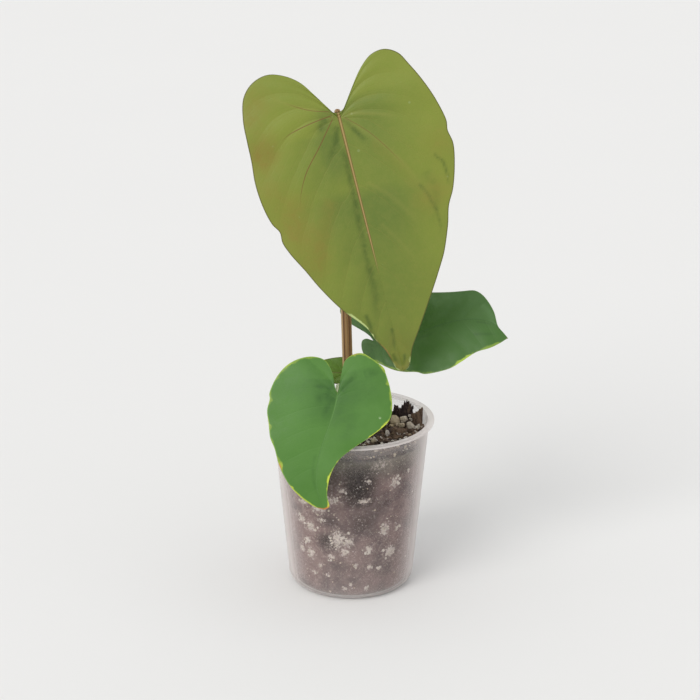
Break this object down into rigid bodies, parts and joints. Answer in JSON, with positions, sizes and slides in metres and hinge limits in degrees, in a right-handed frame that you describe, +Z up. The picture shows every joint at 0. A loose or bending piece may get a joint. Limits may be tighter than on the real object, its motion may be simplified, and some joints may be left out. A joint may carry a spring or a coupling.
{
  "type": "potted anthurium kunayalense",
  "caption": "Young aroid house plant with heart-shaped hanging blades on slim stalks, rooted in chunky bark mix in a frosted tapered plastic pot.",
  "frame": {"origin": "centre of the pot's base, on the surface that it stands on", "axes": "+Z up through the pot; -Y is the front, which the tall blade's upper face looks towards; +X is to the right of the picture"},
  "size_m": [0.1558, 0.1159, 0.3268],
  "materials": {
    "pot_plastic": "frosted translucent polypropylene",
    "mix": "rough damp bark with pale pumice",
    "stem": "matt, scarred green-brown",
    "stalk_brown": "satin brown with paler ribs",
    "stalk_green": "satin grey-green",
    "blade_olive": "satin olive leaf with bronze veins",
    "blade_deep": "satin deep green leaf",
    "blade_mid": "satin mid green leaf with lime margin",
    "blade_dark": "satin dark olive leaf"
  },
  "bodies": {
    "root": {"pot": "pot_plastic", "potting_mix": "mix", "stem_with_roots": "stem", "tall_petiole": "stalk_brown", "tall_blade": "blade_olive", "side_petiole": "stalk_green", "side_blade": "blade_deep", "front_petiole": "stalk_green", "front_blade": "blade_mid", "small_petiole": "stalk_green", "small_blade": "blade_dark"}
  },
  "joints": []
}
